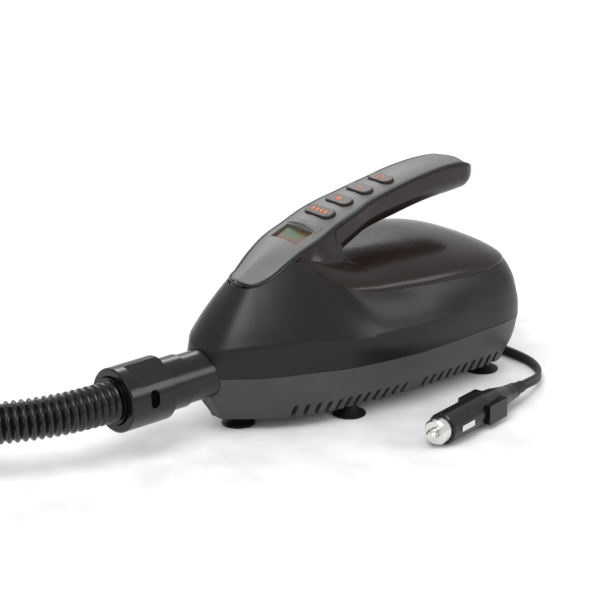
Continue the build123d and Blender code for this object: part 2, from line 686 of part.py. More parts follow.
def compressor_parts():
    y0, y1 = GEAR_Y
    parts = {}
    can, cap, bearings, rotor = motor((COMP_MOTOR_X, 4.0, COMP_Z), (0, -1, 0), 39.0)
    parts["compressor_motor_can"] = can
    parts["brush_cap"] = cap
    parts["bearings"] = bearings
    parts["compressor_rotor"] = rotor.cut(block((-30, 15.8, 40), (60, 60, 100)))
    plate = block((CYLINDER_X[1] + 0.2, 5.6, COMP_Z - 17), (COMP_MOTOR_X + 17, 8.6, COMP_Z + 17))
    plate += block((CYLINDER_X[1] + 0.2, 5.6, COMP_Z - 17), (CYLINDER_X[1] + 3.2, 33, COMP_Z + 14))
    plate -= cylinder_along(SIDE, 5.0, (COMP_MOTOR_X, 0, COMP_Z), 20)
    plate -= cylinder_along(BACK, 8.6, (CYLINDER_X[1] - 1, 20.5, COMP_Z), 6)
    plate -= cylinder_along(SIDE, 2.55, (CRANK_X, 0, COMP_Z), 20)
    plate += block((-20, 5.6, 47.2), (10, 8.6, COMP_Z - 16))
    parts["compressor_frame"] = plate
    half_tooth = math.pi / TEETH["pinion"]
    pinion = gear(TEETH["pinion"], COMP_MOTOR_X, y0, y1, math.pi + half_tooth)
    parts["drive_pinion"] = pinion - cylinder_along(SIDE, SHAFT_R, (COMP_MOTOR_X, 0, COMP_Z), 40)
    wheel = gear(TEETH["crank"], CRANK_X, y0, y1, 0.0)
    parts["crank_gear"] = wheel - cylinder_along(SIDE, 2.5, (CRANK_X, 0, COMP_Z), 40)
    shaft = cylinder_along(SIDE, 2.5, (CRANK_X, 4.0, COMP_Z), 12.6)
    web = cylinder_along(SIDE, 4.6, (CRANK_X, y1 + 0.1, COMP_Z), 1.2)
    web += cylinder_along(SIDE, 3.6, (CRANK_X + THROW, y1 + 0.1, COMP_Z), 1.2)
    web += block((CRANK_X, y1 + 0.1, COMP_Z - 3.6), (CRANK_X + THROW, y1 + 1.3, COMP_Z + 3.6))
    pin = cylinder_along(SIDE, 2.0, (CRANK_X + THROW, y1 + 0.5, COMP_Z), 2.4)
    parts["crank_shaft"] = shaft + web + pin
    eye_x = CRANK_X + THROW
    rod = tube_along(SIDE, 4.4, 2.1, (eye_x, ROD_Y[0], COMP_Z), ROD_Y[1] - ROD_Y[0])
    rod += block((CYLINDER_X[1] - 8, ROD_Y[0], COMP_Z - 1.8), (eye_x - 3.4, ROD_Y[1], COMP_Z + 1.8))
    parts["connecting_rod"] = rod
    centre_y = sum(ROD_Y) / 2
    piston_x = CYLINDER_X[1] - 13
    head = cylinder_along(BACK, BORE_R - 0.6, (piston_x, centre_y, COMP_Z), 5)
    parts["piston"] = head
    parts["piston_seal"] = tube_along(BACK, BORE_R - 0.06, BORE_R - 1.6, (piston_x - 1.3, centre_y, COMP_Z), 1.3)
    x0, x1 = CYLINDER_X
    barrel = tube_along(BACK, BORE_R + 1.6, BORE_R, (x0, centre_y, COMP_Z), x1 - x0)
    for i in range(5):
        barrel += tube_along(BACK, BORE_R + 2.9, BORE_R + 1, (x0 + 4 + 4.4 * i, centre_y, COMP_Z), 1.4)
    parts["cylinder"] = barrel
    cover = cylinder_along(BACK, BORE_R + 2.4, (x0 - 5.1, centre_y, COMP_Z), 5)
    cover -= cylinder_along(BACK, BORE_R - 1.5, (x0 - 2, centre_y, COMP_Z), 3)
    parts["cylinder_head"] = cover
    return parts


def delivery_tube():
    """From the cylinder head down into the manifold's lid."""
    start = (CYLINDER_X[0] - 5.2, sum(ROD_Y) / 2, COMP_Z)
    high = COMP_Z + 0.6
    route = FilletPolyline(
        start, (DELIVERY_X, start[1], COMP_Z), (DELIVERY_X, DELIVERY_Y, high), (DELIVERY_X, DELIVERY_Y, 58.5),
        radius=3.6,
    )
    plane = Plane(origin=start, z_dir=(-1, 0, 0))
    return sweep(plane * (Circle(2.6) - Circle(1.5)), path=route)


# ---------------------------------------------------------------- hose
HOSE_R = 13.5
SLEEVE_X = (-146.8, -130.7)
NUT_X = (-183.0, -147.0)
NUT_R = 21.0
FLAT_TILT = 29.0
CUFF_X = (-185.0, -150.0)
HOSE_ROUTE = [
    (-185, 0, 42.5), (-205, 1.4, 42.2), (-226, 7.3, 41.4), (-245.8, 17.3, 40.2), (-264.5, 32.2, 38.5),
    (-292, 56, 35), (-324, 79.5, 29.5), (-352, 96, 25),
]
HOSE_COIL_CENTRE = (-414.0, 14.0)
HOSE_COIL_R = 103.0
HOSE_COIL_START = 53.0
HOSE_COIL_TURNS = 1.85
HOSE_COIL_IN_R = 38.0

LEAD_R = 3.5
LEAD_THICK = 3.5
GLAND_R = 4.6
GLAND_AT = (127.6, 18.0, 24.0)
LEAD_OUT = [
    (154, 18, 23.6), (169, 19.5, 19), (183, 26, 11.5), (196, 38, 6), (206, 54, 3.8), (213.5, 73, 3.6),
]
LEAD_BACK = [
    (131, 68, 3.6), (139, 52, 3.6), (140.5, 30, 3.6), (139.5, 6, 3.6), (137.5, -18, 3.6), (137.5, -40, 3.6),
    (134.6, -57.5, 3.6), (125.5, -73, 4.2), (111.5, -84.7, 6.2), (96, -91.8, 9.2), (84.6, -95.6, 10.5),
]
LEAD_COIL_CENTRE = (168.0, 102.0)
LEAD_COIL_R = (26.0, 54.0)
LEAD_COIL_TALL = 15.0
PLUG_TIP = (-21.4, -117.4, 10.6)
PLUG_TURN = 11.6


def connector_sleeve():
    """The plain socket that pushes over the nozzle, with its key for the nut's window."""
    x0, x1 = SLEEVE_X
    sleeve = tube_along(BACK, 17.4, SPIGOT_BORE_R + 0.4, (x0, 0, PART_Z), x1 - x0)
    neck = tube_along(BACK, 15.6, SPIGOT_BORE_R + 0.4, (NUT_X[0] + 9, 0, PART_Z), x0 - NUT_X[0] - 9 + 0.5)
    return sleeve + neck


def coupler_nut():
    """The bayonet nut: a drum with two flats and an oval window, free to turn on the sleeve."""
    x0, x1 = NUT_X
    nut = cylinder_along(BACK, NUT_R, (x0, 0, PART_Z), x1 - x0)
    nut = chamfer(nut.edges().filter_by(GeomType.CIRCLE), 1.0)
    nut -= cylinder_along(BACK, 15.7, (x0 + 8.5, 0, PART_Z), x1 - x0)
    nut -= cylinder_along(BACK, HOSE_R + 2.7, (x0 - 1, 0, PART_Z), 20)
    for side in (-1, 1):
        flat = Pos((x0 + x1) / 2, 0, PART_Z) * Rot(FLAT_TILT + (0 if side > 0 else 180), 0, 0)
        nut -= flat * Pos(4, 0, 18.6 + 5) * Box(x1 - x0 - 8, 40, 10)
    window = Plane(origin=(-165, 0, PART_Z), x_dir=(1, 0, 0), z_dir=(0, -1, 0.12))
    return nut - extrude(window * Rot(0, 0, 90) * SlotOverall(12, 7), 30)


def hose_cuff():
    """The moulded end of the hose that sits inside the nut."""
    x0, x1 = CUFF_X
    return tube_along(BACK, 15.4, SPIGOT_BORE_R - 1, (x0, 0, PART_Z), NUT_X[0] + 8.7 - x0)


def rounded_route(points, most=0.45):
    """Straight runs joined by arcs as large as the runs allow, and the arcs' radii."""
    radii = []
    for a, b, c in zip(points, points[1:], points[2:]):
        first, second = Vector(*b) - Vector(*a), Vector(*c) - Vector(*b)
        half_turn = math.radians(first.get_angle(second)) / 2
        radii.append(most * min(first.length, second.length) / math.tan(half_turn))
    return FilletPolyline(*points, radius=radii), radii


def swept(name, points, section):
    """A cord's tube along its route; section draws its face on a plane across the start."""
    route, radii = rounded_route(points)
    way = (Vector(*points[1]) - Vector(*points[0])).normalized()
    plane = Plane(origin=points[0], x_dir=Vector(0, 0, 1).cross(way), z_dir=way)
    face = plane * section
    tube = sweep(face, path=route)
    ratio = tube.volume / (section.area * route.length)
    print(name, "radii", [round(r) for r in radii], "length", round(route.length), "volume", round(ratio, 3))
    return tube


def ring_solid(centre, outer, inner, tall):
    """A coil's outer shape: a ring with rounded edges, lying on the ground."""
    ring = tube_along(UP, outer, inner, (centre[0], centre[1], 0.0), tall)
    return fillet(ring.edges().filter_by(GeomType.CIRCLE), tall * 0.22)


def hose_end_fitting():
    """The stepped valve adaptor on the hose's free end, lying inside the coil."""
    turn = math.radians(HOSE_COIL_START + 360 * HOSE_COIL_TURNS)
    cx, cy = HOSE_COIL_CENTRE
    start = (cx + HOSE_COIL_IN_R * math.cos(turn), cy + HOSE_COIL_IN_R * math.sin(turn), HOSE_R)
    heading = turn + math.radians(90 + 26)
    plane = Plane(origin=start, x_dir=(0, 0, 1), z_dir=(math.cos(heading), math.sin(heading), 0))
    profile = [(0, 13.4), (14, 13.4), (14, 11.5), (34, 10.5), (34, 8.2), (52, 7.4)]
    return round_bar(plane, profile) - extrude(plane.offset(-1) * Circle(5.4), 60)


def cord_gland():
    """The tapered strain relief in the tray's back wall."""
    start = (GLAND_AT[0] - 6.5, GLAND_AT[1], GLAND_AT[2])
    plane = Plane(origin=start, x_dir=(0, 1, 0), z_dir=(1, 0, 0))
    length = LEAD_OUT[0][0] - start[0]
    profile = [(0, 5.4), (1.4, 5.4), (1.4, GLAND_R - 0.05), (8.6, GLAND_R - 0.05), (9, 5.6), (11, 5.4), (length, 4.1)]
    return round_bar(plane, profile) - extrude(plane.offset(-1) * Circle(1.9), 5)


def cords():
    hose = swept("hose", HOSE_ROUTE, Circle(HOSE_R))
    lead = Rectangle(LEAD_THICK, 2 * LEAD_R)
    lead = fillet(lead.vertices(), 1.6)
    return {
        "hose_run": hose,
        "hose_coil": ring_solid(HOSE_COIL_CENTRE, HOSE_COIL_R + HOSE_R, HOSE_COIL_IN_R - HOSE_R, 2 * HOSE_R),
        "hose_end_fitting": hose_end_fitting(),
        "cord_gland": cord_gland(),
        "lead_out": swept("lead out", LEAD_OUT, lead),
        "lead_coil": ring_solid(LEAD_COIL_CENTRE, LEAD_COIL_R[1], LEAD_COIL_R[0], LEAD_COIL_TALL),
        "lead_back": swept("lead back", LEAD_BACK, lead),
    }


def plug_plane():
    """A plane at the plug's tip whose Z runs back along the plug, towards the lead."""
    turn = math.radians(PLUG_TURN)
    return Plane(origin=PLUG_TIP, x_dir=(-math.sin(turn), math.cos(turn), 0), z_dir=(math.cos(turn), math.sin(turn), 0))


def round_bar(plane, profile):
    """A turned piece on a plane's Z axis from (height, radius) pairs."""
    points = [(0, profile[0][0])] + [(r, h) for h, r in profile] + [(0, profile[-1][0])]
    side = Plane(origin=plane.origin, x_dir=plane.x_dir, z_dir=-plane.y_dir)
    return revolve(side * make_face(Polyline(*points, close=True)), Axis(plane.origin, plane.z_dir), 360)


CONTACT_AT = 30.0


def plug_parts():
    plane = plug_plane()
    body = round_bar(plane, [(14.6, 9.6), (15.6, 10.4), (58, 10.4), (74, 9.0), (88, 6.2), (96, 5.4)])
    body -= extrude(plane.offset(13) * Circle(6.2), 14)
    body -= extrude(plane.offset(20) * Circle(3.4), 34)
    for side in (-1, 1):
        wing = plane.offset(52) * Pos(side * 9.8, 0) * Rectangle(5.6, 13)
        body += extrude(wing, 20)
        slot = plane.offset(CONTACT_AT - 7.4) * Pos(side * 8.2, 0) * Rectangle(6, 4.4)
        body -= extrude(slot, 14.8)
    tip = round_bar(plane, [(0, 1.4), (0.8, 2.6), (3.2, 3.4), (9.6, 3.4), (9.6, 5.2), (17, 5.2)])
    ring = round_bar(plane, [(6.8, 7.4), (8.2, 8.6), (14.4, 8.6), (14.4, 6.0), (20, 6.0)])
    ring -= extrude(plane.offset(5) * Circle(3.6), 20)
    ring -= extrude(plane.offset(9.2) * Circle(5.4), 20)
    contacts = []
    for side in (-1, 1):
        bar = plane.offset(CONTACT_AT - 7.0) * Pos(side * 8.6, 0) * Rectangle(4.6, 4.0)
        contacts.append(extrude(bar, 14.0))
    fuse = extrude(plane.offset(20.4) * Circle(3.1), 30)
    relief = round_bar(plane, [(96.1, 5.2), (99, 5.2), (99, 4.4), (108, 3.9)])
    relief -= extrude(plane.offset(95) * Pos(0, 0) * Circle(2.4), 10)
    return {
        "plug_body": body, "plug_tip": tip, "plug_ring": ring, "plug_contact_near": contacts[0],
        "plug_contact_far": contacts[1], "plug_fuse": fuse, "plug_relief": relief,
    }


def main():
    os.makedirs("parts", exist_ok=True)
    save("base_shell", base_shell())
    save("main_shell", main_shell())
    save("deck_cover", deck_cover())
    save("handle_frame", handle_frame())
    save("handle_panel", handle_panel())
    save("handle_grip", handle_grip())
    for name in BUTTONS:
        save("button_" + name, button(name))
    save("control_board", control_board())
    save("tact_switches", tact_switches())
    save("board_screws", board_screws())
    save("display_module", display_module())
    save("display_lens", display_lens())
    save("suction_feet", Compound([suction_foot(x, y) for x, y in FEET]))
    save("housing_screws", housing_screws())
    save("outlet_spigot", outlet_spigot())
    save("spigot_seal", spigot_seal())
    save("outlet_manifold", outlet_manifold())
    save("check_flap", check_flap())
    save("flap_pin", flap_pin())
    save("blower_duct", blower_duct())
    save("blower_volute", blower_volute())
    save("blower_cover", blower_cover())
    save("motor_mount", motor_mount())
    save("impeller", impeller())
    can, cap, bearings, rotor = motor((BLOWER_X, 0, VOLUTE_Z[1] + 2.7), UP, 40.0)
    save("blower_motor_can", can)
    save("blower_rotor", rotor)
    compressor = compressor_parts()
    save("motor_brush_caps", Compound([cap, compressor.pop("brush_cap")]))
    save("motor_bearings", Compound(bearings + compressor.pop("bearings")))
    for name, shape in compressor.items():
        save(name, shape)
    save("delivery_tube", delivery_tube())
    save("connector_sleeve", connector_sleeve())
    save("coupler_nut", coupler_nut())
    save("hose_cuff", hose_cuff())
    for name, shape in plug_parts().items():
        save(name, shape)
    for name, shape in cords().items():
        save(name, shape)


if __name__ == "__main__":
    main()
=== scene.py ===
import json
import math

import bmesh
import bpy
from mathutils import Matrix, Vector


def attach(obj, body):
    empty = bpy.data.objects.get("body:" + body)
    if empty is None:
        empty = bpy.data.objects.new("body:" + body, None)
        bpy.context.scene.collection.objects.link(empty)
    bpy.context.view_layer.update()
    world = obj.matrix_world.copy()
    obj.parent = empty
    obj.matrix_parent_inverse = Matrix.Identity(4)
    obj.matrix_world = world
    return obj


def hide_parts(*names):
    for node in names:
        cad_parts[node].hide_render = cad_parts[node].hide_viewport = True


# The visual model of the electric air pump. Lengths are metres; tables are in millimetres and are
# turned into metres by `mm`. +X points to the pump's back, the nozzle points to -X.

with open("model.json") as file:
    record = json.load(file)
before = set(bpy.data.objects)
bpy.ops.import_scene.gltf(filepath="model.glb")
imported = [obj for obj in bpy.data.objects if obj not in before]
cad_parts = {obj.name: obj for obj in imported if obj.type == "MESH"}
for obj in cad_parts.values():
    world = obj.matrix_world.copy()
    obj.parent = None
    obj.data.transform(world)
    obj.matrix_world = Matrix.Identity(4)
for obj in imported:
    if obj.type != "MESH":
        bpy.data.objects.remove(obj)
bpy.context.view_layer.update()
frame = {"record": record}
MM = 0.001


def mm(*values):
    return Vector([v * MM for v in values])


# ---------------------------------------------------------------- camera, light and floor
CAMERA_AZIMUTH = math.radians(-41.6)
CAMERA_HEIGHT = math.radians(20.0)
CAMERA_DISTANCE = 2.0
CAMERA_TARGET = mm(-20.7, 0, 66.2)
CAMERA_LENS = 178.9


def aimed(obj, place, target):
    """Put a camera or light at a place, turn it to a target and link it."""
    obj.location = place
    obj.rotation_euler = (target - place).to_track_quat("-Z", "Y").to_euler()
    bpy.context.scene.collection.objects.link(obj)
    return obj


def make_camera():
    """A long lens low in front of the pump's left side."""
    back = Vector((
        math.sin(CAMERA_AZIMUTH) * math.cos(CAMERA_HEIGHT),
        -math.cos(CAMERA_AZIMUTH) * math.cos(CAMERA_HEIGHT),
        math.sin(CAMERA_HEIGHT),
    ))
    data = bpy.data.cameras.new("camera")
    data.lens = CAMERA_LENS
    data.clip_end = 20
    place = CAMERA_TARGET + back * CAMERA_DISTANCE
    camera = aimed(bpy.data.objects.new("camera", data), place, CAMERA_TARGET)
    bpy.context.scene.camera = camera


def area_light(name, place, size, power, colour=(1, 1, 1)):
    data = bpy.data.lights.new(name, "AREA")
    data.shape = "RECTANGLE"
    data.size, data.size_y = size
    data.energy = power
    data.color = colour
    aimed(bpy.data.objects.new(name, data), Vector(place), Vector((0, 0, 0.05)))


FLOOR_REACH, SWEEP_START, SWEEP_R, SWEEP_STEPS = 4.0, 2.2, 1.6, 10
WORLD_LIGHT = 0.75


def make_stage():
    """A pale floor that sweeps up into a back wall, and soft studio light."""
    bm = bmesh.new()
    profile = [(-FLOOR_REACH, 0.0)]
    for i in range(SWEEP_STEPS + 1):
        turn = math.pi / 2 * i / SWEEP_STEPS
        profile.append((SWEEP_START + SWEEP_R * math.sin(turn), SWEEP_R * (1 - math.cos(turn))))
    profile.append((SWEEP_START + SWEEP_R, FLOOR_REACH))
    ends = (-FLOOR_REACH * 1.5, FLOOR_REACH * 1.5)
    rows = [[bm.verts.new((x, y, z)) for x in ends] for y, z in profile]
    for low, high in zip(rows, rows[1:]):
        bm.faces.new((low[0], low[1], high[1], high[0]))
    mesh = bpy.data.meshes.new("floor")
    bm.to_mesh(mesh)
    floor = bpy.data.objects.new("floor", mesh)
    bpy.context.scene.collection.objects.link(floor)
    mesh.materials.append(plastic("floor_paper", (0.9, 0.9, 0.9), 0.9, grain=0.0, coat=0.0))
    world = bpy.data.worlds.new("world")
    world.use_nodes = True
    background = world.node_tree.nodes["Background"]
    background.inputs["Color"].default_value = (1, 1, 1, 1)
    background.inputs["Strength"].default_value = WORLD_LIGHT
    bpy.context.scene.world = world
    area_light("key", (-0.9, -0.5, 1.5), (0.9, 0.9), 16)
    area_light("fill", (0.9, -1.4, 0.8), (0.8, 0.6), 6)
    area_light("rim", (0.4, 1.2, 1.0), (1.4, 0.4), 9)
    bpy.context.scene.view_settings.view_transform = "Standard"


# ---------------------------------------------------------------- materials
MATERIALS = {}
BROAD_SCALE, FINE_SCALE = 22.0, 900.0
ROUGH_SPREAD = 0.05
GRAIN_DEPTH = 0.0002
SPECULAR = 0.3


def plastic(name, colour, rough, grain=0.12, coat=0.0, metal=0.0, mottle=0.12):
    """A moulded surface: two noises vary its colour and roughness, and a fine one its height."""
    if name in MATERIALS:
        return MATERIALS[name]
    material = bpy.data.materials.new(name)
    material.use_nodes = True
    nodes, links = material.node_tree.nodes, material.node_tree.links
    shader = nodes["Principled BSDF"]
    place = nodes.new("ShaderNodeTexCoord")
    broad = nodes.new("ShaderNodeTexNoise")
    broad.inputs["Scale"].default_value = BROAD_SCALE
    broad.inputs["Detail"].default_value = 4.0
    fine = nodes.new("ShaderNodeTexNoise")
    fine.inputs["Scale"].default_value = FINE_SCALE
    fine.inputs["Detail"].default_value = 2.0
    for noise in (broad, fine):
        links.new(place.outputs["Object"], noise.inputs["Vector"])
    tint = nodes.new("ShaderNodeValToRGB")
    tint.color_ramp.elements[0].position = 0.3
    tint.color_ramp.elements[1].position = 0.7
    tint.color_ramp.elements[0].color = (*[c * (1 - mottle) for c in colour], 1)
    tint.color_ramp.elements[1].color = (*[min(1, c * (1 + mottle)) for c in colour], 1)
    links.new(broad.outputs["Fac"], tint.inputs["Fac"])
    links.new(tint.outputs["Color"], shader.inputs["Base Color"])
    gloss = nodes.new("ShaderNodeMapRange")
    gloss.inputs["To Min"].default_value = max(0.02, rough - ROUGH_SPREAD)
    gloss.inputs["To Max"].default_value = min(1.0, rough + ROUGH_SPREAD)
    links.new(broad.outputs["Fac"], gloss.inputs["Value"])
    links.new(gloss.outputs["Result"], shader.inputs["Roughness"])
    bump = nodes.new("ShaderNodeBump")
    bump.inputs["Strength"].default_value = grain
    bump.inputs["Distance"].default_value = GRAIN_DEPTH
    links.new(fine.outputs["Fac"], bump.inputs["Height"])
    links.new(bump.outputs["Normal"], shader.inputs["Normal"])
    shader.inputs["Metallic"].default_value = metal
    shader.inputs["Specular IOR Level"].default_value = SPECULAR
    shader.inputs["Coat Weight"].default_value = coat
    shader.inputs["Coat Roughness"].default_value = 0.15
    MATERIALS[name] = material
    return material


def display_picture():
    """The display: soft patches of green, amber and blue, as on a liquid-crystal panel."""
    material = bpy.data.materials.new("display_picture")
    material.use_nodes = True
    nodes, links = material.node_tree.nodes, material.node_tree.links
    shader = nodes["Principled BSDF"]
    place = nodes.new("ShaderNodeTexCoord")
    mapping = nodes.new("ShaderNodeMapping")
    mapping.inputs["Scale"].default_value = (60, 42, 60)
    links.new(place.outputs["Object"], mapping.inputs["Vector"])
    clouds = nodes.new("ShaderNodeTexNoise")
    clouds.inputs["Scale"].default_value = 1.0
    links.new(mapping.outputs["Vector"], clouds.inputs["Vector"])
    ramp = nodes.new("ShaderNodeValToRGB")
    bands = [(0.30, (0.01, 0.02, 0.02)), (0.42, (0.01, 0.09, 0.05)), (0.50, (0.08, 0.07, 0.015)),
             (0.56, (0.10, 0.02, 0.015)), (0.64, (0.03, 0.015, 0.06)), (0.75, (0.01, 0.05, 0.08))]
    for i, (at, colour) in enumerate(bands):
        element = ramp.color_ramp.elements[i] if i < 2 else ramp.color_ramp.elements.new(at)
        element.position, element.color = at, (*colour, 1)
    links.new(clouds.outputs["Fac"], ramp.inputs["Fac"])
    links.new(ramp.outputs["Color"], shader.inputs["Base Color"])
    shader.inputs["Roughness"].default_value = 0.35
    shader.inputs["Specular IOR Level"].default_value = 0.2
    return material


def tray_plastic():
    return plastic("tray_plastic", (0.047, 0.052, 0.049), 0.45, grain=0.25)


def shell_plastic():
    return plastic("shell_plastic", (0.0075, 0.0058, 0.005), 0.34, grain=0.15)


def deck_plastic():
    return plastic("deck_plastic", (0.011, 0.0058, 0.0045), 0.27, grain=0.1, coat=0.1)


def panel_plastic():
    return plastic("panel_plastic", (0.15, 0.15, 0.147), 0.42, grain=0.3)


def gloss_black():
    return plastic("gloss_black", (0.004, 0.004, 0.0042), 0.25, grain=0.08, coat=0.15)


def rubber_black():
    return plastic("rubber_black", (0.008, 0.008, 0.008), 0.5, grain=0.3)


def nickel():
    return plastic("nickel", (0.75, 0.74, 0.72), 0.22, grain=0.08, metal=1.0, mottle=0.04)


# ---------------------------------------------------------------- smooth surfaces
def spline(points, parts, closed=False):
    """Points on a smooth line through the given points, `parts` to each span."""
    count = len(points)
    made = []
    spans = count if closed else count - 1
    for i in range(spans):
        if closed:
            p = [points[(i + k) % count] for k in (-1, 0, 1, 2)]
        else:
            p = [points[max(i - 1, 0)], points[i], points[i + 1], points[min(i + 2, count - 1)]]
        for j in range(parts):
            made.append(hermite(p, j / parts))
    if not closed:
        made.append(points[-1].copy())
    return made


def hermite(p, t):
    """A point between p[1] and p[2], with slopes that heed uneven spacing."""
    gaps = [max((b - a).length, 1e-6) ** 0.5 for a, b in zip(p, p[1:])]
    before, here, after = gaps
    start = (p[1] - p[0]) / before - (p[2] - p[0]) / (before + here) + (p[2] - p[1]) / here
    end = (p[2] - p[1]) / here - (p[3] - p[1]) / (here + after) + (p[3] - p[2]) / after
    if (p[1] - p[0]).length < 1e-7:
        start = (p[2] - p[1]) / here
    if (p[3] - p[2]).length < 1e-7:
        end = (p[2] - p[1]) / here
    start, end = start * here, end * here
    h00, h10 = 2 * t ** 3 - 3 * t ** 2 + 1, t ** 3 - 2 * t ** 2 + t
    h01, h11 = -2 * t ** 3 + 3 * t ** 2, t ** 3 - t ** 2
    return p[1] * h00 + start * h10 + p[2] * h01 + end * h11


def loop_of(half):
    """A closed loop from a half outline that starts and ends on the middle plane."""
    near = [mm(x, -y, z) for x, y, z in half]
    far = [mm(x, y, z) for x, y, z in half[1:-1]]
    return near + far[::-1]


SHARP_ANGLE = 35.0
WALL = 2.4
NOZZLE_HOLE_R = 16.4
NOZZLE_HOLE_X = (-140, -100)


def mesh_object(name, bm, material, body="housing", smooth_angle=SHARP_ANGLE):
    """A smooth-shaded object that rides on a body; edges sharper than the angle stay sharp."""
    mesh = bpy.data.meshes.new(name)
    bmesh.ops.recalc_face_normals(bm, faces=bm.faces[:])
    bm.to_mesh(mesh)
    bm.free()
    mesh.materials.append(material)
    mesh.shade_smooth()
    mesh.set_sharp_from_angle(angle=math.radians(smooth_angle))
    obj = bpy.data.objects.new(name, mesh)
    bpy.context.scene.collection.objects.link(obj)
    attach(obj, body)
    return obj


def grid(bm, rows, closed):
    """Faces between rows of points; returns the rows of vertices."""
    made = [[bm.verts.new(p) for p in row] for row in rows]
    for low, high in zip(made, made[1:]):
        count = len(low)
        for k in range(count if closed else count - 1):
            bm.faces.new((low[k], low[(k + 1) % count], high[(k + 1) % count], high[k]))
    return made


def thicken(obj, wall):
    """Give a sheet a wall on its inner side, for good."""
    modifier = obj.modifiers.new("wall", "SOLIDIFY")
    modifier.thickness = wall
    modifier.offset = -1
    modifier.use_even_offset = False
    apply_modifiers(obj)


def apply_modifiers(obj):
    """Replace an object's mesh by the one its modifiers make."""
    graph = bpy.context.evaluated_depsgraph_get()
    mesh = bpy.data.meshes.new_from_object(obj.evaluated_get(graph))
    old = obj.data
    obj.modifiers.clear()
    obj.data = mesh
    bpy.data.meshes.remove(old)


def lerp_table(table, x):
    """The value of a table at x, on straight lines between its pairs."""
    if x <= table[0][0]:
        return table[0][1]
    for (x0, v0), (x1, v1) in zip(table, table[1:]):
        if x <= x1:
            t = (x - x0) / (x1 - x0)
            return v0 + (v1 - v0) * t
    return table[-1][1]


def smooth_table(table, x):
    """The value of a table at x, on a smooth line through its pairs."""
    if x <= table[0][0] or x >= table[-1][0]:
        return lerp_table(table, x)
    i = max(k for k, (at, _) in enumerate(table) if at <= x)
    i = min(i, len(table) - 2)
    (x0, v0), (x1, v1) = table[i], table[i + 1]

    def slope_at(k):
        a, b = max(k - 1, 0), min(k + 1, len(table) - 1)
        return (table[b][1] - table[a][1]) / (table[b][0] - table[a][0])

    t, span = (x - x0) / (x1 - x0), x1 - x0
    h00, h10 = 2 * t ** 3 - 3 * t ** 2 + 1, t ** 3 - 2 * t ** 2 + t
    h01, h11 = -2 * t ** 3 + 3 * t ** 2, t ** 3 - t ** 2
    return v0 * h00 + slope_at(i) * span * h10 + v1 * h01 + slope_at(i + 1) * span * h11


FLOOR_Z, PART_Z = 9.0, 42.5
FLOOR_LINE = [
    (-98.5, 0), (-98.4, 5), (-92, 11), (-77, 23.5), (-58, 35), (-38, 41.5), (-13, 44.5), (15, 48),
    (42, 49.8), (73, 49.9), (102, 49.6), (114, 46.5), (121, 38), (125, 26), (126, 0),
]
PARTING_LINE = [
    (-113, 0), (-113, 12), (-105, 20), (-82.5, 36.4), (-58, 47), (-33.2, 57.5), (-12.2, 62),
    (19, 66.7), (43, 66.4), (73, 64.5), (104, 62.1), (120, 56), (128, 46), (130.5, 30), (130.5, 0),
]
WAIST_LINE = [
    (-111.5, 0, 60), (-110, 11, 60), (-103, 21, 61.5), (-78, 38.5, 64), (-58, 48.5, 65.5),
    (-30, 61, 63), (-5, 64.5, 61.5), (20, 66.5, 61.5), (45, 66.5, 61.5), (73, 65, 61.5),
    (100, 62.5, 61.5), (116, 57, 61.5), (124, 48, 61.5), (128, 30, 61.5), (128.5, 0, 61.5),
]
TOP_LINE = [
    (-82.4, 0, 95.0), (-81.4, 6, 95.0), (-78.6, 11, 95.2), (-72, 15, 97.0), (-60, 18.4, 102.4),
    (-48, 20.8, 108.8), (-30, 43, 94.5), (-12, 50, 88), (15, 54, 84.7), (45, 58, 83), (85, 57.5, 81),
    (105, 53, 80.5), (118, 43, 80), (124, 28, 80), (126, 0, 80),
]
CREST = [
    (-82, 97.8), (-68, 106), (-55, 112), (-42, 117.5), (-26, 123), (-10, 129), (8, 133.5),
    (26, 137.5), (45, 140.5), (62, 143), (81, 144.5), (98, 144.5), (110, 143), (118, 139), (123, 134),
]
UNDERSIDE = [
    (-12, 99), (-6, 102.5), (4, 107), (15, 111), (30, 114), (45, 116), (58, 118), (74, 120), (90, 121),
    (104, 121.5), (116, 123), (123, 127.5),
]
PANEL_HALF = [
    (-80, 3), (-79, 6.5), (-77, 9.5), (-74, 11.8), (-70, 13), (-64, 15), (-55, 16.8), (-42, 18.3),
    (-30, 18.8), (-15, 18.4), (5, 17), (20, 14.5), (40, 13.4), (90, 12.6), (106, 11.4), (111, 8), (113.5, 4),
]
PANEL_DROP = [
    (-80, 0.8), (-77, 3.0), (-70, 5.6), (-64, 5.8), (-55, 4.2), (-42, 2.8), (-20, 2.8), (10, 2.2),
    (60, 1.7), (113.5, 1.4),
]
DOME_TOP = [
    (-3, 101.5), (15, 101.8), (45, 101.8), (70, 100.6), (95, 96), (110, 91), (118, 87), (123, 83),
    (125.6, 80.6),
]
HANDLE_TAIL = [(100, 14.8), (110, 14.2), (116, 12.8), (118, 12.0)]


BODY_MIDDLE_X = 20


def pushed(low, high, share, out):
    """A row between two rows of a half outline, pushed outwards, by `out` for one halfway up."""
    row = []
    for (x0, y0, z0), (x1, y1, z1) in zip(low, high):
        x, y, z = (a + (b - a) * share for a, b in ((x0, x1), (y0, y1), (z0, z1)))
        reach = math.hypot(x - BODY_MIDDLE_X, y)
        push = out * 4 * share * (1 - share)
        row.append((x + push * (x - BODY_MIDDLE_X) / reach, y + push * y / reach if y else 0, z))
    return row


ALONG_PARTS, UP_PARTS = 7, 6


def dense_rows(rows):
    """Smooth closed rows through rows of control points, and smooth rows between them."""
    rows = [spline(row, ALONG_PARTS, closed=True) for row in rows]
    columns = [spline([row[k] for row in rows], UP_PARTS) for k in range(len(rows[0]))]
    return [[column[r] for column in columns] for r in range(len(columns[0]))]


